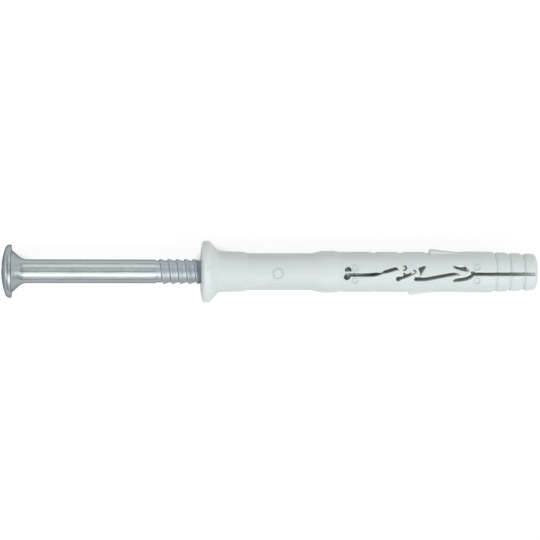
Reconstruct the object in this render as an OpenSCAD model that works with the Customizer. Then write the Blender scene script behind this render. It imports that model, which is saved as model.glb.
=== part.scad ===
// Hammer fixing: a collared, slotted expansion sleeve with its nail screw set part way in.
// The axis runs along X. The origin is the centre of the collar's front face, and the tip is at +X.
// The slots face +Z and -Z, and the fins stand out at +Y and -Y.

/* [Sleeve] */
// Length from the collar's front face to the tip
sleeve_l = 59.65; // [57:0.05:75]
// Diameter of the neck next to the collar
neck_d = 7.2; // [6.8:0.05:7.6]
// Length from the collar's face to the end of the neck
neck_l = 7.45; // [5:0.05:12]
// Amount that the neck tapers towards the tip
neck_taper = 0.18; // [0:0.02:0.4]
// Diameter of the waist behind the neck
waist_d = 6.54; // [6:0.01:7]
// Length of the waist
waist_l = 11.3; // [6:0.1:16]
// Length of the chamfer between neck and waist
waist_chamfer = 0.85; // [0.3:0.05:1.5]
// Diameter of the band ahead of the slots
band_d = 7.4; // [7:0.02:7.8]
// Length of the band
band_l = 2.15; // [1:0.05:4]
// Length of the flare from the waist up to the band
band_flare = 1.85; // [0.5:0.05:3]
// Length of the taper from the band down to the slotted body
band_run_out = 1.3; // [0.4:0.1:2]
// Diameter of the slotted body
body_d = 7.1; // [6.8:0.02:7.3]
// Depth of the faint ring line where the body begins
ring_line = 0.04; // [0.02:0.01:0.1]

/* [Collar] */
// Diameter of the collar
collar_d = 10.9; // [10:0.1:13]
// Diameter of the flat front of the collar
collar_face_d = 8.5; // [8:0.05:9.4]
// Depth of the rounded front edge
collar_edge = 0.58; // [0.3:0.02:0.9]
// Length of the collar's rim
collar_rim = 0.9; // [0.5:0.05:2]
// Slope of the cone behind the rim, from the axis
collar_cone = 48; // [35:1:60]
// Length of the blend from the cone into the neck
collar_blend = 0.45; // [0.2:0.05:1]

/* [Tip] */
// Diameter of the plain section ahead of the tip
end_d = 7.24; // [7:0.02:7.5]
// Length of the plain section
end_l = 4.8; // [3:0.1:7]
// Length of the ramp from the body up to the plain section
end_ramp = 0.9; // [0.4:0.1:2]
// Number of grooves round the tip
groove_count = 3; // [2:1:4]
// Distance from one groove to the next
groove_pitch = 2.51; // [2:0.01:3]
// Depth of the first groove
groove_depth = 0.26; // [0.1:0.02:0.4]
// Extra depth of each further groove
groove_deepen = 0.05; // [0:0.01:0.08]
// Length of a groove's gentle side
groove_lead = 0.68; // [0.4:0.02:0.9]
// Length of a groove's steep side
groove_rise = 0.5; // [0.2:0.02:0.7]
// Amount in radius that each ring is below the one before it
ring_step = 0.11; // [0:0.01:0.16]
// Amount in radius that a ring falls over its length
ring_fall = 0.05; // [0:0.01:0.1]
// Length of the last ring, from the last groove to the rounded end
land_l = 1.16; // [0.8:0.02:2]
// Length of the rounded end
tip_round = 0.7; // [0.5:0.05:1.4]
// Angle that the rounded end sweeps through
tip_sweep = 80; // [45:1:85]

/* [Slots] */
// Width of the straight slit through the tip
slit_w = 0.6; // [0.3:0.01:0.8]
// Length of the web that closes the slit at the tip
slit_web = 0.6; // [0.4:0.05:1]
// Radius of the larger relief hole at the root of the slots
relief_r = 0.6; // [0.4:0.02:0.8]
// Radius of the smaller relief hole
relief_small_r = 0.62; // [0.4:0.01:0.75]
// Width of the web across the relief holes
relief_web = 0.28; // [0.2:0.02:0.5]
// Width of the curved slots in their wide stretches
slot_width = 0.62; // [0.5:0.02:0.64]
// Length of one unit in the layout of the slots
slot_unit = 0.984; // [0.9:0.001:1.05]
// Length by which the layout of the slots begins ahead of the body
slot_lead = 0.05; // [0:0.05:0.4]

/* [Fins] */
// Distance across both fins, to suit the drilled hole
fin_span = 7.96; // [7.6:0.02:8.4]
// Thickness of a fin
fin_t = 2.5; // [1.5:0.1:3.2]
// Length of a fin
fin_l = 6.1; // [4:0.1:8]
// Rake of a fin's front face
fin_rake = 0.25; // [0:0.05:0.5]
// Distance from the start of the body to the fin on the +Y side
fin_far = 15.55; // [13:0.05:17]
// Distance from the start of the body to the fin on the -Y side
fin_near = 11.85; // [10:0.05:14]
// Depth of the notches across the +Y side
notch_depth_far = 0.4; // [0.2:0.02:0.5]
// Depth of the notches across the -Y side
notch_depth_near = 0.2; // [0.1:0.02:0.4]
// Length of a notch's gentle side
notch_lead = 1; // [0.4:0.05:1.4]
// Length of a notch's steep side
notch_rise = 0.65; // [0.2:0.05:0.8]
// Distance from the last notch on the +Y side to the fin
notch_gap = 0.25; // [0.1:0.05:0.6]
// Number of notches on the +Y side
notch_count_far = 3; // [1:1:3]
// Number of notches on the -Y side
notch_count_near = 2; // [1:1:2]
// Distance between the notches on the +Y side
notch_pitch_far = 4.68; // [4:0.02:5]
// Distance between the notches on the -Y side
notch_pitch_near = 5.9; // [5:0.05:6.2]

/* [Nail] */
// Length of the nail from the top of its head to its tip
nail_l = 66.4; // [60:0.2:72]
// Length that stands out of the collar before it is driven
nail_out = 35.24; // [30:0.1:40]
// Diameter of the plain shank
shank_d = 4.19; // [3.9:0.01:4.36]
// Length from the top of the head to the thread
shank_l = 27.6; // [20:0.1:34]
// Outside diameter of the thread
thread_d = 4.42; // [4.38:0.01:4.6]
// Diameter of the thread's core
core_d = 3.84; // [3.4:0.01:3.95]
// Length of the point
point_l = 2.3; // [1.5:0.1:4]
// Diameter of the blunt end of the point
point_d = 0.5; // [0.2:0.1:1]
// Clearance in diameter between thread and guide bore
guide_clear = 0.1; // [0.06:0.02:0.2]
// Length that the guide bore runs on past the nail's tip
guide_past = 0.4; // [0.2:0.1:2]
// Clearance in diameter between core and expansion bore
core_clear = 0.1; // [0.06:0.02:0.2]

/* [Head] */
// Diameter of the head
head_d = 9.42; // [8.6:0.02:10.4]
// Radius of the domed top
dome_r = 10.6; // [8:0.2:16]
// Radius of the rounded rim
head_edge = 0.85; // [0.4:0.05:1.2]
// Length of the straight part of the rim
head_rim = 0.42; // [0.2:0.02:1]
// Diameter of the cone under the head, where it meets the flat underside
seat_d = 7.36; // [6.6:0.02:7.6]
// Slope of the cone under the head, from the axis
seat_angle = 42; // [35:1:50]
// Radius of the fillet between cone and shank
seat_fillet = 2.1; // [1:0.1:2.6]
// Clearance round the cone when the nail is driven home
seat_clear = 0.08; // [0.04:0.02:0.15]
// Span of the cross recess at its mouth
recess_span = 4.7; // [3.5:0.1:5.4]
// Width of the recess's wings
recess_w = 1.2; // [0.8:0.05:1.5]
// Depth of the recess below the top of the head
recess_depth = 2.4; // [1.5:0.1:2.8]
// Slope of the ends of the wings, from the axis
recess_slope = 26; // [15:1:30]
// Diameter of the recess's core at its mouth
recess_core_d = 2.28; // [1.8:0.02:2.8]
// Diameter of the recess's floor
recess_floor_d = 1.88; // [1.4:0.02:2.2]
// Depth of the cone in the recess's floor
recess_cone = 0.6; // [0.2:0.05:0.8]

/* [Hidden] */
$fn = 144;

// Steps in a quarter of a rounded edge, and in each stretch of a curved slot
arc_steps = 8;
curve_steps = 3;
// Length by which a cut runs past the surface that it opens
cut_past = 1;

collar_back = collar_edge + collar_rim;
cone_run = (collar_d - neck_d) / 2 / tan(collar_cone);
blend_rise = collar_blend / 4;
ring_line_run = ring_line * 4;
waist_x = neck_l + waist_chamfer;
band_x = waist_x + waist_l + band_flare;
body_x = band_x + band_l + band_run_out;
land_end = sleeve_l - tip_round;
groove_first = land_end - land_l - groove_rise - groove_pitch * (groove_count - 1);
end_x = groove_first - groove_lead - end_l;

head_x = -nail_out;
edge_c = head_d / 2 - head_edge;
edge_x = dome_r - sqrt(pow(dome_r - head_edge, 2) - pow(edge_c, 2));
dome_a = asin(edge_c / (dome_r - head_edge));
head_l = edge_x + head_rim;
seat_corner = (seat_d - shank_d) / 2 / tan(seat_angle);
fillet_end = seat_corner + seat_fillet * tan(seat_angle / 2);

guide_d = thread_d + guide_clear;
expand_d = core_d + core_clear;
tip_end_d = expand_d + core_clear;
guide_end = max(nail_l - nail_out, shank_l - head_l) + guide_past;
guide_cone = (guide_d - expand_d) / 2;

// Slots in the wall, in units of the layout: [along the body, across, share of the full width]
slot_root = [[0.9, -0.14, 1.1], [2.6, -0.15, 1.13], [4.7, -0.17, 1.1], [6.0, -0.06, 1.12], [6.9, 0.08, 0.52]];
slot_bridge = [[6.7, 0.03, 0.48], [7.6, 0.3, 0.52]];
slot_ramp = [[7.3, 0.3, 0.92], [8.4, 0.6, 1.08], [9.5, 0.93, 1], [9.9, 0.8, 0.42], [10.2, 0.68, 0.18]];
slot_hook = [[10.9, 1.42, 0.26], [11.32, 1.36, 0.42], [11.48, 1.08, 0.42], [11.22, 0.76, 0.42],
    [10.8, 0.56, 0.45], [10.94, 0.2, 0.48], [11.35, -0.2, 0.55]];
slot_cross = [[10.04, -0.88, 1.1], [10.6, -0.72, 0.94], [11.7, -0.24, 1], [12.5, 0.08, 0.8], [13.15, 0.28, 0.6]];
slot_prong = [[13.1, 0.3, 0.48], [13.1, 0.62, 0.39], [12.75, 0.68, 0.32], [12.6, 0.5, 0.19]];
slot_tail = [[14.12, 0.32, 0.65], [14.05, -0.05, 0.39], [14.02, -0.3, 0.19]];
slot_wedge = [[13.64, 1.05], [14.62, 1.42], [14.84, 1.4], [14.97, 1.18], [14.3, 0.2], [13.95, 0.2]];
slot_blunt = [[12.86, -0.95], [13.14, -0.38], [13.76, -0.42], [14.2, -0.66], [14.1, -1.27], [13.1, -1.36]];
slot_long = [[13.9, -0.97, 1.08], [15.1, -0.92, 1.12], [17.6, -0.42, 1.12], [19.5, -0.07, 1.02],
    [20.4, 0.02, 0.8], [21.2, -0.17, 0.12]];
slot_upper_leaf = [[19.9, 1.38, 0.35], [20.6, 1.2, 1.05], [21.6, 1.02, 1.2], [22.3, 0.8, 1.02], [22.72, 0.5, 0.22]];
slot_lower_leaf = [[19.9, -1.33, 0.35], [20.5, -1.1, 0.9], [21.7, -0.95, 1.02], [22.6, -0.7, 1.06],
    [23.2, -0.34, 1.06], [23.5, -0.05, 0.86]];
CURVED_SLOTS = [slot_root, slot_bridge, slot_ramp, slot_hook, slot_cross, slot_prong, slot_tail, slot_long,
    slot_upper_leaf, slot_lower_leaf];
// Round ends, in the same units: [along the body, across, radius]
slot_cross_end = [10.04, -0.88, 0.47];
slit_knob = [23.34, 0.4, 0.34];
slit_start = 23.3;
relief_far = [1.08, 0.64];
relief_near = [0.88, -0.5];
relief_web_y = 0.28;

// Points of an elliptic arc in a half section, as [radius, along the axis]
function arc(r, x, r_semi, x_semi, from, to) =
    [for (i = [0 : arc_steps]) let (a = from + (to - from) * i / arc_steps) [r + r_semi * cos(a), x + x_semi * sin(a)]];

// Smooth curve through hand-set points, which keeps their order and passes through each
function spline_at(a, b, c, d, t) =
    0.5 * (2 * b + (c - a) * t + (2 * a - 5 * b + 4 * c - d) * t * t + (3 * b - a - 3 * c + d) * t * t * t);
function smooth(p) = [
    for (i = [0 : len(p) - 2], s = [0 : curve_steps - 1])
        spline_at(p[max(i - 1, 0)], p[i], p[i + 1], p[min(i + 2, len(p) - 1)], s / curve_steps),
    p[len(p) - 1]
];

// Outline of a strip of changing width along a curve
function across_at(p, i) =
    let (d = p[min(i + 1, len(p) - 1)] - p[max(i - 1, 0)])
    [-d[1], d[0]] / norm([d[0], d[1]]);
function edge_of(p, side) =
    [for (i = [0 : len(p) - 1])
        [p[i][0], p[i][1]] * slot_unit + across_at(p, i) * side * p[i][2] * slot_width / 2];
function outline(p) = let (e = edge_of(p, -1)) concat(edge_of(p, 1), [for (i = [len(e) - 1 : -1 : 0]) e[i]]);

// Half section of the under side of the head, from the flat to the shank, grown by a clearance
function under_head(grow) = concat(
    [[seat_d / 2 + grow, 0]],
    [for (p = arc(shank_d / 2 + seat_fillet, fillet_end, seat_fillet, seat_fillet, 180 + seat_angle, 180))
        [p[0] + grow, p[1]]]
);

// Turns a half section, given as [radius, along the axis], about the X axis
module turned(points) {
    rotate([0, 90, 0]) rotate_extrude() polygon(points);
}

// Half section of the rings and grooves at the tip
function ring_r(i) = end_d / 2 - ring_step * i;
function groove_x(i) = groove_first + groove_pitch * i;
function groove_section() = [
    for (i = [0 : groove_count - 1]) each [
        [ring_r(i) - (i > 0 ? ring_fall : 0), groove_x(i) - groove_lead],
        [ring_r(i + 1) - groove_depth - groove_deepen * i, groove_x(i)],
        [ring_r(i + 1), groove_x(i) + groove_rise]
    ]
];

module sleeve_blank() {
    land_r = ring_r(groove_count) - ring_fall;
    tip_semi = (land_r - tip_end_d / 2) / (1 - cos(tip_sweep));
    turned(concat(
        [[0, 0]],
        arc(collar_face_d / 2, collar_edge, (collar_d - collar_face_d) / 2, collar_edge, -90, 0),
        [
            [collar_d / 2, collar_back],
            [neck_d / 2 + blend_rise, collar_back + cone_run - blend_rise],
            [neck_d / 2, collar_back + cone_run + collar_blend],
            [(neck_d - neck_taper) / 2, neck_l],
            [waist_d / 2, waist_x],
            [waist_d / 2, waist_x + waist_l],
            [band_d / 2, band_x],
            [band_d / 2, band_x + band_l],
            [body_d / 2 - ring_line, body_x - ring_line_run],
            [body_d / 2, body_x],
            [body_d / 2, end_x - end_ramp],
            [end_d / 2, end_x]
        ],
        groove_section(),
        arc(land_r - tip_semi, land_end, tip_semi, tip_round / sin(tip_sweep), 0, tip_sweep),
        [[0, sleeve_l]]
    ));
}

// Guide bore, the narrower expansion bore, and the seat that the head sinks into
module sleeve_bore() {
    turned([
        [0, -cut_past],
        [guide_d / 2, -cut_past],
        [guide_d / 2, guide_end],
        [expand_d / 2, guide_end + guide_cone],
        [expand_d / 2, sleeve_l + cut_past],
        [0, sleeve_l + cut_past]
    ]);
    turned(concat(
        [[0, -cut_past], [seat_d / 2 + seat_clear, -cut_past]],
        under_head(seat_clear),
        [[0, fillet_end]]
    ));
}

// A shape cut straight through the body, placed from the start of the layout
module through() {
    translate([body_x - slot_lead, 0, 0]) linear_extrude(collar_d, center = true) children();
}

module relief_holes() {
    difference() {
        union() {
            through() translate(relief_far * slot_unit) circle(relief_small_r);
            through() translate(relief_near * slot_unit) circle(relief_r);
        }
        web_l = relief_far[0] * slot_unit + relief_r + cut_past;
        through() translate([0, relief_web_y * slot_unit - relief_web / 2]) square([web_l, relief_web]);
    }
}

module slots() {
    for (p = CURVED_SLOTS) {
        through() polygon(outline(smooth(p)));
    }
    through() polygon(slot_wedge * slot_unit);
    through() polygon(slot_blunt * slot_unit);
    for (c = [slot_cross_end, slit_knob]) {
        through() translate([c[0], c[1]] * slot_unit) circle(c[2] * slot_unit);
    }
    relief_holes();
    slit_l = sleeve_l - slit_web - body_x + slot_lead - slit_start * slot_unit;
    through() translate([slit_start * slot_unit, -slit_w / 2]) square([slit_l, slit_w]);
}

// A fin on the +Y side, with its steep front face towards the collar
module fin(x) {
    root = body_d / 2 - fin_rake;
    translate([x, 0, 0]) linear_extrude(fin_t, center = true) polygon([
        [0, 0],
        [0, root],
        [fin_rake, fin_span / 2],
        [fin_l, root],
        [fin_l, 0]
    ]);
}

// A shallow V across the +Y side, gentle towards the collar and steep towards the tip,
// drawn to twice its depth so that it opens clear of the surface
module notch(x, depth) {
    translate([x, body_d / 2 - depth, 0]) linear_extrude(body_d, center = true) polygon([
        [0, 0],
        [notch_rise, depth] * 2,
        [-notch_lead, depth] * 2
    ]);
}

module notches() {
    for (i = [0 : notch_count_far - 1]) {
        notch(body_x + fin_far - notch_gap - notch_pitch_far * i, notch_depth_far);
    }
    for (i = [1 : notch_count_near]) {
        mirror([0, 1, 0]) notch(body_x + fin_near - notch_pitch_near * i, notch_depth_near);
    }
}

module plug_sleeve() {
    color([0.83, 0.87, 0.86]) difference() {
        union() {
            difference() {
                sleeve_blank();
                notches();
            }
            fin(body_x + fin_far);
            mirror([0, 1, 0]) fin(body_x + fin_near);
        }
        sleeve_bore();
        slots();
    }
}

// One bar of the cross recess, with ends that slope in towards the bottom
module recess_bar() {
    bottom = recess_span / 2 - recess_depth * tan(recess_slope);
    mouth = recess_span / 2 + cut_past * tan(recess_slope);
    linear_extrude(recess_w, center = true) polygon([
        [-cut_past, -mouth],
        [-cut_past, mouth],
        [recess_depth, bottom],
        [recess_depth, -bottom]
    ]);
}

module cross_recess() {
    for (a = [45, 135]) rotate([a, 0, 0]) recess_bar();
    turned([
        [0, -cut_past],
        [recess_core_d / 2, -cut_past],
        [recess_floor_d / 2, recess_depth],
        [0, recess_depth + recess_cone]
    ]);
}

module nail_screw() {
    color([0.70, 0.73, 0.75]) translate([head_x, 0, 0]) difference() {
        turned(concat(
            [for (i = [0 : arc_steps]) let (a = dome_a * i / arc_steps) [dome_r * sin(a), dome_r * (1 - cos(a))]],
            arc(edge_c, edge_x, head_edge, head_edge, dome_a - 90, 0),
            [[head_d / 2, head_l]],
            [for (p = under_head(0)) [p[0], p[1] + head_l]],
            [
                [shank_d / 2, shank_l],
                [core_d / 2, shank_l + (shank_d - core_d) / 2],
                [core_d / 2, nail_l - point_l],
                [point_d / 2, nail_l],
                [0, nail_l]
            ]
        ));
        cross_recess();
    }
}

plug_sleeve();
nail_screw();
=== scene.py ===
import math

import bmesh
import bpy
import numpy as np
from mathutils import Matrix, Vector
from mathutils.geometry import delaunay_2d_cdt


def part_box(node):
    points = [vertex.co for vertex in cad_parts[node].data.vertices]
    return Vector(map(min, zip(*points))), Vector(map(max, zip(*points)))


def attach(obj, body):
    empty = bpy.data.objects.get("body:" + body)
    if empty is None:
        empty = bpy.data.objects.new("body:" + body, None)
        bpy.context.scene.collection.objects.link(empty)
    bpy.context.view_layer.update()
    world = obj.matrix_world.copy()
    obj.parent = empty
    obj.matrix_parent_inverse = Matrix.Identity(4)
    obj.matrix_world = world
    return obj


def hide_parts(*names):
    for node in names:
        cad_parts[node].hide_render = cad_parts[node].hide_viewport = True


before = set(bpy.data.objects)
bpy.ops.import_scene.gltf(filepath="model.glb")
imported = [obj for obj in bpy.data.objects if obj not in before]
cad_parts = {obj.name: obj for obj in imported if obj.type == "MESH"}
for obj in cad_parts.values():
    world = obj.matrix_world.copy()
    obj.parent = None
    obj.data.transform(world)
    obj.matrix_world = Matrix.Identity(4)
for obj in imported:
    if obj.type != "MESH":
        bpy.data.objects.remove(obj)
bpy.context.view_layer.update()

MM = 0.001
SEGMENTS = 192
SHARP_ANGLE = math.radians(34)
SLEEVE_STEP = 1.0
NAIL_STEP = 1.5
CRISP_EDGE = 0.05
BLUNT_EDGE = 0.16

# Places that the solids give
SLEEVE_HIGH = np.array(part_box("plug_sleeve")[1]) / MM
NAIL_HIGH = np.array(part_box("nail_screw")[1]) / MM
SLEEVE_L = SLEEVE_HIGH[0]
NAIL_TIP = NAIL_HIGH[0]
COLLAR_R = SLEEVE_HIGH[2]
HEAD_R = NAIL_HIGH[2]

# Sleeve: outside, from the collar to the plain section
COLLAR_FACE_R = 3.9
COLLAR_BEVEL_X = 0.24
COLLAR_BEVEL_R = 5.1
COLLAR_EDGE = 0.52
COLLAR_ROUND = 0.05
COLLAR_BACK = 1.48
CONE_END = 3.03
NECK_BLEND = 0.11
NECK_START = 3.6
NECK_R = 3.6
NECK_L = 7.45
NECK_END_R = 3.51
WAIST_X = 8.3
WAIST_END = 19.6
WAIST_R = 3.27
BAND_X = 21.45
BAND_END = 23.6
BAND_R = 3.7
BODY_X = 24.9
BODY_R = 3.55
RING_LINE = 0.05
END_X = 46.79
END_RAMP = 0.9
END_R = 3.62

# Sleeve: grooves and rounded tip
GROOVES = 3
GROOVE_FIRST = 52.27
GROOVE_PITCH = 2.51
GROOVE_DEPTH = 0.26
GROOVE_DEEPEN = 0.05
GROOVE_LEAD = 0.68
GROOVE_RISE = 0.46
GROOVE_STEP = 0.13
GROOVE_STEP_SHARE = 0.75
RING_STEP = 0.11
RING_FALL = 0.05
TIP_ROUND = 0.7
TIP_SWEEP = math.radians(80)
TIP_END_R = 2.02

# Sleeve: bore and the seat for the head
GUIDE_R = 2.26
GUIDE_END = 31.56
EXPAND_R = 1.97
SEAT_CLEAR = 0.08
SEAT_LEAD = 0.15
BORE_EDGE = 0.1

# Sleeve: fins and notches
FIN_TOP = 3.98
FIN_ROOT = 3.3
FIN_INNER = 2.7
FIN_T = 2.5
FIN_L = 6.1
FIN_RAKE = 0.25
FIN_FAR = BODY_X + 15.55
FIN_NEAR = BODY_X + 11.85
FIN_ROUND = 0.07
NOTCH_DEPTH_FAR = 0.4
NOTCH_DEPTH_NEAR = 0.2
NOTCH_LEAD = 1.0
NOTCH_RISE = 0.65
NOTCH_GAP_FAR = 0.25
NOTCH_PITCH_FAR = 4.68
NOTCH_PITCH_NEAR = 5.9
NOTCHES_FAR = [FIN_FAR - NOTCH_GAP_FAR - NOTCH_PITCH_FAR * i for i in range(3)]
NOTCHES_NEAR = [FIN_NEAR - NOTCH_PITCH_NEAR * i for i in (1, 2)]

# Layout of the slots: its start, the length of its unit, and the full width of a curved slot
SLOT_X = BODY_X - 0.05
SLOT_UNIT = 0.984
SLOT_W = 0.62
# Curved slots in units of the layout, as [along, across, share of the full width], each drawn as a strip
CURVED_SLOTS = [
    [[0.9, -0.14, 1.1], [2.6, -0.15, 1.13], [4.7, -0.17, 1.1], [6.0, -0.06, 1.12], [6.9, 0.08, 0.52]],
    [[6.7, 0.03, 0.48], [7.6, 0.3, 0.52]],
    [[7.3, 0.3, 0.92], [8.4, 0.6, 1.08], [9.5, 0.93, 1], [9.9, 0.8, 0.42], [10.2, 0.68, 0.18]],
    [[10.9, 1.42, 0.28], [11.32, 1.36, 0.48], [11.48, 1.08, 0.48], [11.22, 0.76, 0.48],
     [10.8, 0.56, 0.52], [10.94, 0.2, 0.56], [11.35, -0.2, 0.64]],
    [[10.04, -0.88, 1.1], [10.6, -0.72, 0.94], [11.7, -0.24, 1], [12.5, 0.08, 0.8], [13.15, 0.28, 0.6]],
    [[13.1, 0.3, 0.48], [13.1, 0.62, 0.39], [12.75, 0.68, 0.32], [12.6, 0.5, 0.19]],
    [[14.12, 0.32, 0.65], [14.05, -0.05, 0.39], [14.02, -0.3, 0.19]],
    [[13.9, -0.97, 1.08], [15.1, -0.92, 1.12], [17.6, -0.42, 1.12], [19.5, -0.07, 1.02], [20.4, 0.02, 0.8],
     [21.2, -0.17, 0.12]],
    [[19.9, 1.38, 0.4], [20.6, 1.2, 1.2], [21.6, 1.02, 1.4], [22.3, 0.8, 1.2], [22.7, 0.52, 0.14]],
    [[19.9, -1.33, 0.38], [20.5, -1.1, 1.0], [21.7, -0.95, 1.14], [22.6, -0.7, 1.14], [23.2, -0.34, 1.1],
     [23.5, -0.05, 0.88]],
]
SLOT_WEDGES = [
    [[13.52, 1.08], [14.62, 1.46], [14.86, 1.43], [15.0, 1.18], [14.3, 0.2], [13.92, 0.2]],
    [[12.83, -0.95], [13.1, -0.27], [13.72, -0.3], [14.2, -0.6], [14.1, -1.27], [13.1, -1.36]],
]
# Round holes as [along, across, radius]
ROUND_SLOTS = [[10.04, -0.88, 0.47], [23.34, 0.4, 0.34], [0.81, -0.5, 0.64]]
RELIEF = [1.01, 0.64, 0.63]
RELIEF_FLAT = 0.42
SLIT_START = 23.3
SLIT_WEB = 0.6
SLIT_END = (SLEEVE_L - SLIT_WEB - SLOT_X) / SLOT_UNIT
SLIT_W = 0.66
SLOT_STEP = 0.06
CORNER_PASSES = 6
CURVE_STEPS = 6
LIP = 0.04
# Rounding of a lip, as (share of its size outwards, share of its size inwards)
LIP_CURVE = [(0.0, 1.0), (0.12, 0.5), (0.4, 0.14), (1.1, -0.15)]

# Ejector marks as [along the axis, across, radius]
EJECTOR_MARKS = [
    [13.48, 0.05, 0.87], [27.05, 1.07, 0.5], [27.05, -1.14, 0.5], [48.64, 1.26, 0.5], [48.64, -1.13, 0.5],
]
MARK_W = 0.16
MARK_DEPTH = 0.19
MARK_PAST = 0.5
MARK_SEGMENTS = 48

# Nail: head and shank
NAIL_L = 66.3
HEAD_X = NAIL_TIP - NAIL_L
DOME_R = 12.0
HEAD_EDGE = 0.85
HEAD_RIM = 0.26
HEAD_UNDERCUT = 0.16
HEAD_ROUND = 0.12
SEAT_R = 3.68
SEAT_ANGLE = math.radians(42)
SEAT_FILLET = 2.1
SHANK_R = 2.095
SHANK_END = HEAD_X + 27.5
SHANK_TAPER = 0.5
RECESS_SPAN = 4.7
RECESS_W = 1.2
RECESS_DEPTH = 2.4
RECESS_SLOPE = math.radians(26)
RECESS_CORE_R = 1.14
RECESS_FLOOR_R = 0.94
RECESS_CONE = 0.6
RECESS_PAST = 1.0

# Nail: thread and point
CORE_R = 1.92
THREAD_R = 2.21
PITCH = 1.48
POINT_L = 2.3
POINT_R = 0.25
POINT_ROUND = 0.15
THREAD_START = 0.35
THREAD_RUNOUT = 1.6
THREAD_SEGMENTS = 96
# Height of the thread over one pitch, as [share of the pitch, share of the height]
TOOTH = [[0.0, 0.0], [0.1, 0.85], [0.15, 1.0], [0.22, 1.0], [0.3, 0.86], [0.6, 0.32], [0.8, 0.04], [0.9, 0.0]]
THREAD_PHASE = -7.18 - 0.18 * PITCH


# Sections and outlines

def arc(x, r, x_semi, r_semi, start, end, steps=10):
    """Points of an elliptic arc in a half section, with angles measured from the radial direction."""
    return [(x + x_semi * math.sin(a), r + r_semi * math.cos(a)) for a in np.linspace(start, end, steps + 1)]


def soften(points, size, steps=4, least=math.radians(14)):
    """Rounds each corner of a half section that turns by more than the least angle."""
    out = [points[0]]
    for before, here, after in zip(points, points[1:], points[2:]):
        a, p, b = (np.array(q, float) for q in (before, here, after))
        to_a, to_b = a - p, b - p
        len_a, len_b = np.linalg.norm(to_a), np.linalg.norm(to_b)
        turn = math.acos(np.clip(-to_a @ to_b / (len_a * len_b), -1, 1))
        if turn < least:
            out.append(here)
            continue
        reach = min(size, 0.45 * len_a, 0.45 * len_b)
        start = p + to_a / len_a * reach
        end = p + to_b / len_b * reach
        for t in np.linspace(0, 1, steps + 1):
            out.append(tuple((1 - t) ** 2 * start + 2 * t * (1 - t) * p + t * t * end))
    return out + [points[-1]]


def refine(points, step):
    """Adds points along a half section so that none of its stretches is longer than the step."""
    out = [points[0]]
    for a, b in zip(points, points[1:]):
        count = max(1, math.ceil(math.dist(a, b) / step))
        out += [tuple(np.array(a) + (np.array(b) - np.array(a)) * k / count) for k in range(1, count + 1)]
    return out


def rounded(loop):
    """A closed loop with its points a step apart and its corners eased, as a moulding's are."""
    p = np.array(loop)
    along = np.concatenate([[0], np.cumsum(np.linalg.norm(np.diff(p, axis=0), axis=1))])
    places = np.linspace(0, along[-1], math.ceil(along[-1] / SLOT_STEP), endpoint=False)
    out = np.column_stack([np.interp(places, along, p[:, k]) for k in (0, 1)])
    for _ in range(CORNER_PASSES):
        out = 0.5 * out + 0.25 * (np.roll(out, 1, 0) + np.roll(out, -1, 0))
    return out


def smooth(points):
    """Smooth curve that passes through given points."""
    p = np.array(points, float)
    out = []
    for i in range(len(p) - 1):
        a, b, c, d = p[max(i - 1, 0)], p[i], p[i + 1], p[min(i + 2, len(p) - 1)]
        for t in np.arange(CURVE_STEPS) / CURVE_STEPS:
            out.append(0.5 * (2 * b + (c - a) * t + (2 * a - 5 * b + 4 * c - d) * t ** 2
                              + (3 * b - a - 3 * c + d) * t ** 3))
    return np.array(out + [p[-1]])


def strip(points):
    """Outline of a strip of changing width along a smooth curve."""
    p = smooth(points)
    along = np.gradient(p[:, :2], axis=0)
    along /= np.linalg.norm(along, axis=1)[:, None]
    half = np.column_stack([-along[:, 1], along[:, 0]]) * p[:, 2:] * SLOT_W / 2
    return np.vstack([p[:, :2] + half, (p[:, :2] - half)[::-1]])


def circle(x, y, radius, start=0.0, end=2 * math.pi, count=28):
    """Points on a circle, or on a part of it closed by a straight line."""
    angles = np.linspace(start, end, count, endpoint=end - start < 2 * math.pi - 1e-6)
    return np.column_stack([x + radius * np.cos(angles), y + radius * np.sin(angles)])


def grown(outline, distance):
    """A loop moved outwards, by less in corners that are tighter than the distance."""
    into = outline - np.roll(outline, 1, 0)
    out_of = np.roll(into, -1, 0)
    along = into + out_of
    length = np.linalg.norm(along, axis=1)
    turn = (into[:, 0] * out_of[:, 1] - into[:, 1] * out_of[:, 0]) * 4 / length ** 2
    tightest = np.where(turn < 0, 0.7 * length / 2 / np.maximum(-turn, 1e-6), np.inf)
    reach = np.minimum(distance, tightest)[:, None]
    return outline + np.column_stack([along[:, 1], -along[:, 0]]) / length[:, None] * reach


# Mesh building

def new_piece(name, vertices, faces):
    """A mesh object in millimetres, with doubled points merged and faces turned outwards."""
    mesh = bpy.data.meshes.new(name)
    mesh.from_pydata([tuple(v) for v in vertices], [], faces)
    bm = bmesh.new()
    bm.from_mesh(mesh)
    bmesh.ops.remove_doubles(bm, verts=bm.verts, dist=1e-5)
    bmesh.ops.dissolve_degenerate(bm, dist=1e-6, edges=bm.edges)
    bmesh.ops.recalc_face_normals(bm, faces=bm.faces)
    bm.to_mesh(mesh)
    bm.free()
    piece = bpy.data.objects.new(name, mesh)
    bpy.context.scene.collection.objects.link(piece)
    return piece


def skin(rows, close_rows=False, close_ring=True, caps=False):
    """Vertices and faces that join rows of points, each row of the same length."""
    count = len(rows[0])
    vertices = [v for row in rows for v in row]
    faces = []
    for k in range(len(rows) if close_rows else len(rows) - 1):
        low = k * count
        high = (k + 1) % len(rows) * count
        for j in range(count if close_ring else count - 1):
            nxt = (j + 1) % count
            faces.append((low + j, low + nxt, high + nxt, high + j))
    if caps:
        faces.append(tuple(range(count)))
        faces.append(tuple(range((len(rows) - 1) * count, len(rows) * count)))
    return vertices, faces


def ring(x, r, segments=SEGMENTS):
    """Points round the axis."""
    angles = np.arange(segments) * 2 * math.pi / segments
    return [(x, r * math.cos(a), r * math.sin(a)) for a in angles]


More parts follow.
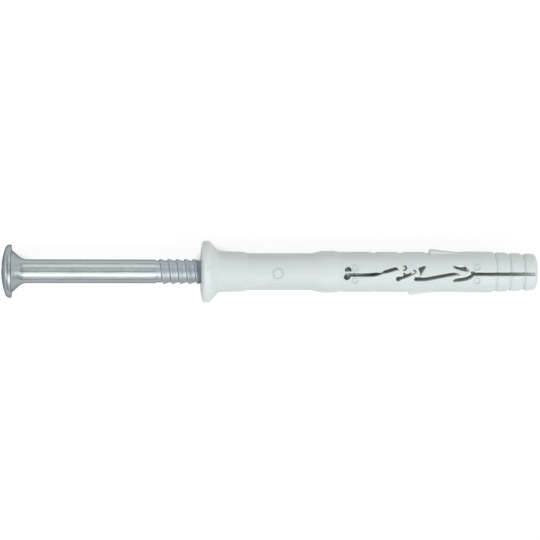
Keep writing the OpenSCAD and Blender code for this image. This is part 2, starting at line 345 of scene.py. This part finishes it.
def turned(name, section, closed):
    """A half section of (along, radius) points turned about the axis."""
    return new_piece(name, *skin([ring(x, r) for x, r in section], close_rows=closed))


def combine(piece, tool, operation):
    """Joins or cuts a piece with a tool, exactly, and removes the tool."""
    modifier = piece.modifiers.new("combine", "BOOLEAN")
    modifier.operation = operation
    modifier.solver = "EXACT"
    modifier.object = tool
    graph = bpy.context.evaluated_depsgraph_get()
    result = bpy.data.meshes.new_from_object(piece.evaluated_get(graph))
    piece.modifiers.clear()
    old = piece.data
    piece.data = result
    bpy.data.meshes.remove(old)
    bpy.data.objects.remove(tool)


def finish_piece(piece, material, body, node):
    """Turns a piece to metres, shades it, and sets it on its body in place of its solid."""
    piece.data.transform(((MM, 0, 0, 0), (0, MM, 0, 0), (0, 0, MM, 0), (0, 0, 0, 1)))
    piece.data.shade_smooth()
    piece.data.set_sharp_from_angle(angle=SHARP_ANGLE)
    piece.data.materials.clear()
    piece.data.materials.append(material)
    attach(piece, body)
    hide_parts(node)


# Sleeve

def ring_radius(i):
    return END_R - RING_STEP * i


def groove_section():
    """Half section of the rings and grooves at the tip."""
    out = []
    for i in range(GROOVES):
        x = GROOVE_FIRST + GROOVE_PITCH * i
        depth = GROOVE_DEPTH + GROOVE_DEEPEN * i
        out.append((x - GROOVE_LEAD, ring_radius(i) - (RING_FALL if i else 0)))
        out.append((x, ring_radius(i + 1) - depth))
        out.append((x + GROOVE_STEP, ring_radius(i + 1) - depth * (1 - GROOVE_STEP_SHARE)))
        out.append((x + GROOVE_RISE, ring_radius(i + 1)))
    return out


def under_head(grow):
    """Half section under the head, from the flat to the shank, grown by a clearance."""
    run = (SEAT_R - SHANK_R) / math.tan(SEAT_ANGLE)
    end = run + SEAT_FILLET * math.tan(SEAT_ANGLE / 2)
    fillet = arc(end, SHANK_R + SEAT_FILLET, SEAT_FILLET, SEAT_FILLET, math.pi + SEAT_ANGLE, math.pi)
    return [(0, SEAT_R + grow)] + [(x, r + grow) for x, r in fillet]


def outer_section():
    """Half section of the sleeve's outside, from the collar's face to the end of the tip."""
    land_r = ring_radius(GROOVES) - RING_FALL
    semi = (land_r - TIP_END_R) / (1 - math.cos(TIP_SWEEP))
    tip = arc(SLEEVE_L - TIP_ROUND, land_r - semi, TIP_ROUND / math.sin(TIP_SWEEP), semi, 0, TIP_SWEEP)
    body = [
        (COLLAR_BACK, COLLAR_R), (CONE_END, NECK_R + NECK_BLEND), (NECK_START, NECK_R), (NECK_L, NECK_END_R),
        (WAIST_X, WAIST_R), (WAIST_END, WAIST_R), (BAND_X, BAND_R), (BAND_END, BAND_R),
        (BODY_X - 4 * RING_LINE, BODY_R - RING_LINE), (BODY_X, BODY_R),
        (END_X - END_RAMP, BODY_R), (END_X, END_R),
    ]
    edge = [(0, COLLAR_FACE_R), (COLLAR_BEVEL_X, COLLAR_BEVEL_R), (COLLAR_EDGE, COLLAR_R)]
    rings = groove_section()
    collar = soften(edge + body[:2], COLLAR_ROUND)
    shank = soften(body + rings[:1], BLUNT_EDGE)
    return collar[:-1] + shank[1:-1] + soften(body[-1:] + rings + tip, CRISP_EDGE)[1:]


def bore_section():
    """Half section of the bore, from the tip back to the seat in the collar's face."""
    seat = [p for p in under_head(SEAT_CLEAR) if p[1] > GUIDE_R]
    last = seat[-1]
    guide = [(SLEEVE_L, EXPAND_R), (GUIDE_END + GUIDE_R - EXPAND_R, EXPAND_R), (GUIDE_END, GUIDE_R)]
    return guide + [(last[0] + SEAT_LEAD, GUIDE_R)] + seat[::-1]


OUTER = np.array(outer_section())


def surface_z(x, y):
    """Height of the sleeve's outside over a point of the plan."""
    r = np.interp(x, OUTER[:, 0], OUTER[:, 1])
    return np.sqrt(np.maximum(r * r - y * y, 0.01))


def slot_cutter(outline):
    """Solid that cuts an outline through both walls, with rounded lips where it opens."""
    upper = []
    for out, depth in LIP_CURVE:
        ring_points = grown(outline, LIP * out)
        z = surface_z(ring_points[:, 0], ring_points[:, 1]) - LIP * depth
        upper.append(np.column_stack([ring_points, z]))
    top = upper[-1].copy()
    top[:, 2] = COLLAR_R
    upper.append(top)
    lower = [row * np.array([1, 1, -1]) for row in upper[::-1]]
    return new_piece("cutter", *skin([[tuple(p) for p in row] for row in lower + upper], caps=True))


def slot_shapes():
    """Shapes that make up the openings in the body, in units of the layout."""
    flat = math.asin((RELIEF_FLAT - RELIEF[1]) / RELIEF[2])
    outlines = [strip(points) for points in CURVED_SLOTS]
    outlines += [np.array(points) for points in SLOT_WEDGES]
    outlines += [circle(*hole) for hole in ROUND_SLOTS]
    outlines.append(circle(*RELIEF, flat, math.pi - flat))
    half = SLIT_W / 2
    outlines.append(np.array([[SLIT_START, -half], [SLIT_END, -half], [SLIT_END, half], [SLIT_START, half]]))
    return outlines


def slot_outlines():
    """Outlines of the openings where their shapes are joined, each with its inside on the left."""
    points, faces = [], []
    for shape in slot_shapes():
        faces.append(list(range(len(points), len(points) + len(shape))))
        points += [Vector(p) for p in shape]
    joined, _, triangles, *_ = delaunay_2d_cdt(points, [], faces, 1, 1e-4)
    sides = {(a, b) for t in triangles for a, b in zip(t, t[1:] + t[:1])}
    after = {a: b for a, b in sides if (b, a) not in sides}
    outlines = []
    while after:
        loop = [min(after)]
        while loop[-1] in after:
            loop.append(after.pop(loop[-1]))
        places = [(SLOT_X + joined[i][0] * SLOT_UNIT, joined[i][1] * SLOT_UNIT) for i in loop]
        outlines.append(rounded(places))
    return outlines


def prism(name, outline, depth, round_edges=0.0):
    """An outline in the plane of the axis, drawn out equally to both sides."""
    rows = [[(x, y, z) for x, y in outline] for z in (-depth / 2, depth / 2)]
    piece = new_piece(name, *skin(rows, caps=True))
    if round_edges:
        bm = bmesh.new()
        bm.from_mesh(piece.data)
        bmesh.ops.bevel(bm, geom=bm.edges, offset=round_edges, segments=2, profile=0.5, affect="EDGES")
        bm.to_mesh(piece.data)
        bm.free()
    return piece


def fin(x, side):
    """A fin with its steep face towards the collar."""
    far = x + FIN_L
    outline = [(x, FIN_INNER), (x, FIN_ROOT), (x + FIN_RAKE, FIN_TOP), (far, FIN_ROOT), (far, FIN_INNER)]
    return prism("fin", [(px, side * py) for px, py in outline], FIN_T, FIN_ROUND)


def notch(x, side, depth):
    """A shallow V across one side, drawn to twice its depth."""
    y = BODY_R - depth
    outline = [(x, y), (x + 2 * NOTCH_RISE, y + 2 * depth), (x - 2 * NOTCH_LEAD, y + 2 * depth)]
    return prism("notch", [(px, side * py) for px, py in outline], 2 * BODY_R)


def mark_cutter(x, y, radius):
    """Solid that cuts the witness line of an ejector pin into the upper side."""
    rows = []
    for r, high in ((radius - MARK_W / 2, False), (radius + MARK_W / 2, False), (radius + MARK_W / 2, True),
                    (radius - MARK_W / 2, True)):
        points = circle(x, y, r, count=MARK_SEGMENTS)
        z = surface_z(points[:, 0], points[:, 1]) + (MARK_PAST if high else -MARK_DEPTH)
        rows.append([tuple(p) for p in np.column_stack([points, z])])
    return new_piece("mark", *skin(rows, close_rows=True))


def build_sleeve():
    section = refine(list(map(tuple, OUTER)) + soften(bore_section(), BORE_EDGE), SLEEVE_STEP)
    sleeve = turned("sleeve_moulding", section, closed=True)
    for x in NOTCHES_FAR:
        combine(sleeve, notch(x, 1, NOTCH_DEPTH_FAR), "DIFFERENCE")
    for x in NOTCHES_NEAR:
        combine(sleeve, notch(x, -1, NOTCH_DEPTH_NEAR), "DIFFERENCE")
    for x, side in ((FIN_FAR, 1), (FIN_NEAR, -1)):
        combine(sleeve, fin(x, side), "UNION")
    for outline in slot_outlines():
        combine(sleeve, slot_cutter(outline), "DIFFERENCE")
    for mark in EJECTOR_MARKS:
        combine(sleeve, mark_cutter(*mark), "DIFFERENCE")
    return sleeve


# Nail

def head_section():
    """Half section of the head and the shank, from the middle of the dome to the thread."""
    edge_r = HEAD_R - HEAD_EDGE
    edge_x = DOME_R - math.sqrt((DOME_R - HEAD_EDGE) ** 2 - edge_r ** 2)
    dome_a = math.asin(edge_r / (DOME_R - HEAD_EDGE))
    dome = arc(DOME_R, 0, DOME_R, DOME_R, -math.pi / 2, dome_a - math.pi / 2)
    edge = arc(edge_x, edge_r, HEAD_EDGE, HEAD_EDGE, dome_a - math.pi / 2, 0)
    rim_x = edge_x + HEAD_RIM
    under = [(x + rim_x + HEAD_UNDERCUT, r) for x, r in under_head(0)]
    flat_r = SEAT_R + HEAD_UNDERCUT * math.tan(SEAT_ANGLE)
    rim = [(rim_x, HEAD_R), (rim_x, flat_r)]
    return [(HEAD_X + x, r) for x, r in soften(dome + edge[1:] + rim + under[1:], HEAD_ROUND)]


def shank_rows():
    section = refine(head_section() + [(SHANK_END - SHANK_TAPER, SHANK_R), (SHANK_END, CORE_R)], NAIL_STEP)
    return [nail_ring(np.full(THREAD_SEGMENTS + 1, x), np.full(THREAD_SEGMENTS + 1, r)) for x, r in section]


def nail_ring(x, r):
    """Points round the nail, with the first place repeated at the end."""
    angles = np.linspace(0, 2 * math.pi, THREAD_SEGMENTS + 1)
    return [tuple(p) for p in np.column_stack([x, r * np.cos(angles), r * np.sin(angles)])]


def thread_rows():
    """Rows that follow the thread's helix, so that its crest is a clean line, and end on plain rings."""
    start, end = SHANK_END, NAIL_TIP - POINT_L
    turn = np.linspace(0, 1, THREAD_SEGMENTS + 1)
    first = THREAD_PHASE - PITCH * math.ceil((THREAD_PHASE - start) / PITCH + 1)
    rows = []
    for k in range(math.ceil((end - first) / PITCH) + 1):
        for share, height in TOOTH:
            x = np.clip(first + PITCH * (k + share + turn), start, end)
            fade = np.clip(np.minimum((x - start) / THREAD_START, (end - x) / THREAD_RUNOUT), 0, 1)
            rows.append(nail_ring(x, CORE_R + (THREAD_R - CORE_R) * height * fade))
    return rows


def point_rows():
    start = NAIL_TIP - POINT_L
    section = soften([(start, CORE_R), (NAIL_TIP, POINT_R), (NAIL_TIP, 0)], POINT_ROUND)
    return [nail_ring(np.full(THREAD_SEGMENTS + 1, x), np.full(THREAD_SEGMENTS + 1, r)) for x, r in section]


def recess_bar(angle):
    """One bar of the cross recess, with ends that slope in towards the bottom."""
    mouth = RECESS_SPAN / 2 + RECESS_PAST * math.tan(RECESS_SLOPE)
    bottom = RECESS_SPAN / 2 - RECESS_DEPTH * math.tan(RECESS_SLOPE)
    outline = [(-RECESS_PAST, -mouth), (-RECESS_PAST, mouth), (RECESS_DEPTH, bottom), (RECESS_DEPTH, -bottom)]
    bar = prism("recess", [(HEAD_X + x, y) for x, y in outline], RECESS_W)
    c, s = math.cos(angle), math.sin(angle)
    bar.data.transform(((1, 0, 0, 0), (0, c, -s, 0), (0, s, c, 0), (0, 0, 0, 1)))
    return bar


def build_nail():
    rows = shank_rows() + thread_rows() + point_rows()
    nail = new_piece("nail_body", *skin(rows, close_ring=False))
    for angle in (math.pi / 4, -math.pi / 4):
        combine(nail, recess_bar(angle), "DIFFERENCE")
    core = [(-RECESS_PAST, 0), (-RECESS_PAST, RECESS_CORE_R), (RECESS_DEPTH, RECESS_FLOOR_R),
            (RECESS_DEPTH + RECESS_CONE, 0)]
    combine(nail, turned("core", [(HEAD_X + x, r) for x, r in core], closed=False), "DIFFERENCE")
    return nail


# Materials

NYLON_LOW = (0.613, 0.684, 0.669)
NYLON_HIGH = (0.647, 0.714, 0.702)
STAIN = (0.50, 0.47, 0.42)
ZINC_LOW = (0.375, 0.42, 0.43)
ZINC_HIGH = (0.42, 0.463, 0.468)
THREAD_COLOUR = (0.41, 0.46, 0.495)
EDGE_TINT = (0.28, 0.32, 0.36, 1)


def new_material(name):
    material = bpy.data.materials.new(name)
    material.use_nodes = True
    nodes = material.node_tree.nodes
    return material, nodes, material.node_tree.links, nodes["Principled BSDF"]


def noise(nodes, links, vector, scale, detail=3.0, stretch=None):
    """Noise in the piece's own space, with the scale for each metre, stretched along the axis if asked."""
    node = nodes.new("ShaderNodeTexNoise")
    node.inputs["Scale"].default_value = scale
    node.inputs["Detail"].default_value = detail
    if stretch:
        mapping = nodes.new("ShaderNodeMapping")
        mapping.inputs["Scale"].default_value = (1 / stretch, 1, 1)
        links.new(vector, mapping.inputs["Vector"])
        vector = mapping.outputs["Vector"]
    links.new(vector, node.inputs["Vector"])
    return node.outputs["Fac"]


def total(nodes, links, values):
    """The sum of several values."""
    out = values[0]
    for value in values[1:]:
        node = nodes.new("ShaderNodeMath")
        links.new(out, node.inputs[0])
        links.new(value, node.inputs[1])
        out = node.outputs["Value"]
    return out


def ranged(nodes, links, value, low, high, start=0.3, end=0.7):
    """A value turned to another range."""
    node = nodes.new("ShaderNodeMapRange")
    for name, number in (("From Min", start), ("From Max", end), ("To Min", low), ("To Max", high)):
        node.inputs[name].default_value = number
    links.new(value, node.inputs["Value"])
    return node.outputs["Result"]


def mixed(nodes, links, factor, low, high):
    """A colour between two, by a factor."""
    node = nodes.new("ShaderNodeMix")
    node.data_type = "RGBA"
    node.inputs[6].default_value = (*low, 1)
    node.inputs[7].default_value = (*high, 1)
    links.new(factor, node.inputs[0])
    return node.outputs[2]


def bump(nodes, links, height, distance, strength, under=None):
    """A bump of a height in metres, on top of another."""
    node = nodes.new("ShaderNodeBump")
    node.inputs["Distance"].default_value = distance
    node.inputs["Strength"].default_value = strength
    links.new(height, node.inputs["Height"])
    if under:
        links.new(under, node.inputs["Normal"])
    return node.outputs["Normal"]


def along_axis(nodes, links, place, low, high, start, end):
    """A value that changes along the axis, between two places in millimetres."""
    split = nodes.new("ShaderNodeSeparateXYZ")
    links.new(place, split.inputs["Vector"])
    return ranged(nodes, links, split.outputs["X"], low, high, start * MM, end * MM)


def product(nodes, links, first, second):
    """The product of two values."""
    node = nodes.new("ShaderNodeMath")
    node.operation = "MULTIPLY"
    links.new(first, node.inputs[0])
    links.new(second, node.inputs[1])
    return node.outputs["Value"]


def tinted(nodes, links, factor, colour, tint):
    """A colour turned towards a tint, by a factor."""
    node = nodes.new("ShaderNodeMix")
    node.data_type = "RGBA"
    node.inputs[7].default_value = (*tint, 1)
    links.new(colour, node.inputs[6])
    links.new(factor, node.inputs[0])
    return node.outputs[2]


def nylon():
    """Light grey moulded nylon with a satin grain, and faint stains, most on the collar's rim."""
    material, nodes, links, shader = new_material("grey_nylon_moulded")
    place = nodes.new("ShaderNodeTexCoord").outputs["Object"]
    clouds = noise(nodes, links, place, 500, 4, stretch=3)
    grain = noise(nodes, links, place, 9000, 2)
    waves = noise(nodes, links, place, 900, 2)
    specks = noise(nodes, links, place, 1300, 2)
    colour = mixed(nodes, links, ranged(nodes, links, clouds, 0, 1), NYLON_LOW, NYLON_HIGH)
    rim = along_axis(nodes, links, place, 0.32, 0.08, 1.4, 2.6)
    stains = product(nodes, links, rim, ranged(nodes, links, specks, 0, 1, 0.58, 0.72))
    links.new(tinted(nodes, links, stains, colour, STAIN), shader.inputs["Base Color"])
    links.new(ranged(nodes, links, grain, 0.40, 0.52), shader.inputs["Roughness"])
    soft = bump(nodes, links, waves, 0.00002, 0.5)
    links.new(bump(nodes, links, grain, 0.000004, 0.5, soft), shader.inputs["Normal"])
    shader.inputs["Subsurface Weight"].default_value = 0.22
    shader.inputs["Subsurface Radius"].default_value = (1.0, 0.96, 0.92)
    shader.inputs["Subsurface Scale"].default_value = 0.008
    shader.inputs["IOR"].default_value = 1.5
    return material


def zinc():
    """Bright zinc plating over drawn wire, duller along the rolled thread and on the struck head."""
    material, nodes, links, shader = new_material("zinc_plated_steel")
    place = nodes.new("ShaderNodeTexCoord").outputs["Object"]
    streaks = noise(nodes, links, place, 3000, 3, stretch=16)
    ripple = noise(nodes, links, place, 4200, 2, stretch=3)
    patches = noise(nodes, links, place, 420, 4, stretch=2)
    colour = mixed(nodes, links, ranged(nodes, links, patches, 0, 1), ZINC_LOW, ZINC_HIGH)
    thread = along_axis(nodes, links, place, 0, 1, SHANK_END - 0.4, SHANK_END + 0.6)
    links.new(tinted(nodes, links, thread, colour, THREAD_COLOUR), shader.inputs["Base Color"])
    bright = ranged(nodes, links, streaks, 0.08, 0.17)
    head = along_axis(nodes, links, place, 0.16, 0, HEAD_X + 2.2, HEAD_X + 4.5)
    dull = along_axis(nodes, links, place, 0, 0.3, SHANK_END - 0.4, SHANK_END + 0.6)
    links.new(total(nodes, links, [bright, head, dull]), shader.inputs["Roughness"])
    drawn = along_axis(nodes, links, place, 0.12, 1, HEAD_X + 2.5, HEAD_X + 5)
    wavy = bump(nodes, links, product(nodes, links, drawn, ripple), 0.000013, 1.0)
    lined = bump(nodes, links, product(nodes, links, drawn, streaks), 0.000005, 0.6, wavy)
    links.new(lined, shader.inputs["Normal"])
    shader.inputs["Metallic"].default_value = 1.0
    shader.inputs["Specular Tint"].default_value = EDGE_TINT
    return material


# Stage

# Brightness of the studio round the part, by angle in degrees from overhead towards the front
STUDIO = [
    (-90, 0.55), (-86, 0.70), (-76, 1.2), (-64, 1.46), (-54, 1.48), (-44, 1.06), (-35, 0.66), (-25, 1.2),
    (-16, 0.98), (-8, 0.60), (-3, 0.72), (5, 1.44), (15, 1.9), (24, 2.6), (30, 3.1), (37, 2.9), (44, 1.9),
    (51, 1.26), (60, 1.03), (72, 0.9), (81, 0.7), (90, 0.5),
]
# Share of that brightness by how far a direction points towards the tip, with a pale card beyond each end
ENDS = [
    (-1, 1.5), (-0.95, 1.25), (-0.85, 0.6), (-0.7, 0.32), (-0.3, 0.8), (-0.05, 1.0), (0.25, 1.0), (0.7, 0.7),
    (1, 0.9),
]
FLOOR_SIZE = 4.0
FLOOR_GLOW = 0.87
FLOOR_SHADE = 0.16
CONTACT_REACH = 0.0045
REST_COLLAR_X = 1.0
REST_HEAD_X = HEAD_X + 1.85
REST_SLOPE = math.atan2(COLLAR_R - HEAD_R, REST_COLLAR_X - REST_HEAD_X)
# The photograph shows a little of the collar's front, so the camera stands over the thread and is turned
# towards the middle of the part
CAMERA_TILT = math.radians(7.0)
CAMERA_ROLL = math.radians(0.1)
CAMERA_DISTANCE = 0.45
CAMERA_OFFSET = 0.0243
SENSOR = 36.0
PIXELS = 540
PIXELS_PER_MM = 5.65
AIM_X = 12.14
AIM_UP = 0.24


def ramp(nodes, links, value, points):
    """A grey that follows a list of (place, level) points."""
    node = nodes.new("ShaderNodeValToRGB")
    node.color_ramp.interpolation = "EASE"
    elements = node.color_ramp.elements
    while len(elements) < len(points):
        elements.new(0.5)
    for element, (place, level) in zip(elements, points):
        element.position = place
        element.color = (level, level, level, 1)
    links.new(value, node.inputs["Fac"])
    return node.outputs["Color"]


def build_world():
    world = bpy.data.worlds.new("studio")
    bpy.context.scene.world = world
    world.use_nodes = True
    nodes = world.node_tree.nodes
    links = world.node_tree.links
    direction = nodes.new("ShaderNodeSeparateXYZ")
    links.new(nodes.new("ShaderNodeTexCoord").outputs["Generated"], direction.inputs["Vector"])
    front = nodes.new("ShaderNodeMath")
    front.operation = "MULTIPLY"
    front.inputs[1].default_value = -1.0
    links.new(direction.outputs["Y"], front.inputs[0])
    angle = nodes.new("ShaderNodeMath")
    angle.operation = "ARCTAN2"
    links.new(front.outputs["Value"], angle.inputs[0])
    links.new(direction.outputs["Z"], angle.inputs[1])
    across = ranged(nodes, links, angle.outputs["Value"], 0, 1, -math.pi / 2, math.pi / 2)
    along = ranged(nodes, links, direction.outputs["X"], 0, 1, -1, 1)
    levels = [((degrees + 90) / 180, level) for degrees, level in STUDIO]
    shares = [((x + 1) / 2, share) for x, share in ENDS]
    links.new(ramp(nodes, links, across, levels), nodes["Background"].inputs["Color"])
    links.new(ramp(nodes, links, along, shares), nodes["Background"].inputs["Strength"])


def floor_material():
    """White paper: seen rays get a white glow and keep part of the real shadow; the glow is dimmed by ambient
    occlusion where the part lies close, a painted contact shadow, and shows white elsewhere.
    """
    material, nodes, links, shader = new_material("white_paper")
    shader.inputs["Base Color"].default_value = (0.42, 0.42, 0.42, 1)
    shader.inputs["Roughness"].default_value = 1.0
    shader.inputs["Specular IOR Level"].default_value = 0.0
    seen = nodes.new("ShaderNodeBsdfDiffuse")
    seen.inputs["Color"].default_value = (FLOOR_SHADE, FLOOR_SHADE, FLOOR_SHADE, 1)
    # Ambient occlusion dims the floor's glow near the part: a painted contact shadow
    close = nodes.new("ShaderNodeAmbientOcclusion")
    close.inputs["Distance"].default_value = CONTACT_REACH
    glow = nodes.new("ShaderNodeEmission")
    links.new(ranged(nodes, links, close.outputs["AO"], 0.05, FLOOR_GLOW, 0.3, 0.55), glow.inputs["Strength"])
    both = nodes.new("ShaderNodeAddShader")
    links.new(seen.outputs[0], both.inputs[0])
    links.new(glow.outputs[0], both.inputs[1])
    path = nodes.new("ShaderNodeLightPath")
    seen_rays = [path.outputs[name] for name in ("Is Camera Ray", "Is Glossy Ray", "Is Transmission Ray")]
    mix = nodes.new("ShaderNodeMixShader")
    links.new(total(nodes, links, seen_rays), mix.inputs["Fac"])
    links.new(shader.outputs[0], mix.inputs[1])
    links.new(both.outputs[0], mix.inputs[2])
    links.new(mix.outputs[0], nodes["Material Output"].inputs["Surface"])
    return material


def build_floor():
    """The plane that the part lies on, touching its collar and the rim of the nail's head."""
    half = FLOOR_SIZE / 2
    mesh = bpy.data.meshes.new("floor")
    corners = [(-half, -half, 0), (half, -half, 0), (half, half, 0), (-half, half, 0)]
    mesh.from_pydata(corners, [], [(0, 1, 2, 3)])
    mesh.materials.append(floor_material())
    floor = bpy.data.objects.new("floor", mesh)
    floor.location = (REST_COLLAR_X * MM, 0, -COLLAR_R * MM)
    floor.rotation_euler = (0, REST_SLOPE, 0)
    bpy.context.scene.collection.objects.link(floor)


def build_camera():
    data = bpy.data.cameras.new("camera")
    data.sensor_width = SENSOR
    data.lens = SENSOR * math.hypot(CAMERA_DISTANCE, CAMERA_OFFSET) / (PIXELS / PIXELS_PER_MM * MM)
    data.clip_end = 10.0
    camera = bpy.data.objects.new("camera", data)
    c, s = math.cos(CAMERA_TILT), math.sin(CAMERA_TILT)
    up = np.array([0, c, -s]) * AIM_UP * MM
    back = np.array([0, s, c]) * CAMERA_DISTANCE
    camera.location = np.array([AIM_X * MM - CAMERA_OFFSET, 0, 0]) + up + back
    roll = Matrix.Rotation(CAMERA_ROLL, 3, "Z")
    tilt = Matrix.Rotation(-CAMERA_TILT, 3, "X")
    turn = Matrix.Rotation(-math.atan2(CAMERA_OFFSET, CAMERA_DISTANCE), 3, "Y")
    camera.rotation_euler = (roll @ tilt @ turn).to_euler()
    bpy.context.scene.collection.objects.link(camera)
    bpy.context.scene.camera = camera


bpy.context.scene.view_settings.view_transform = "Standard"
finish_piece(build_sleeve(), nylon(), "sleeve", "plug_sleeve")
finish_piece(build_nail(), zinc(), "nail", "nail_screw")
build_world()
build_floor()
build_camera()
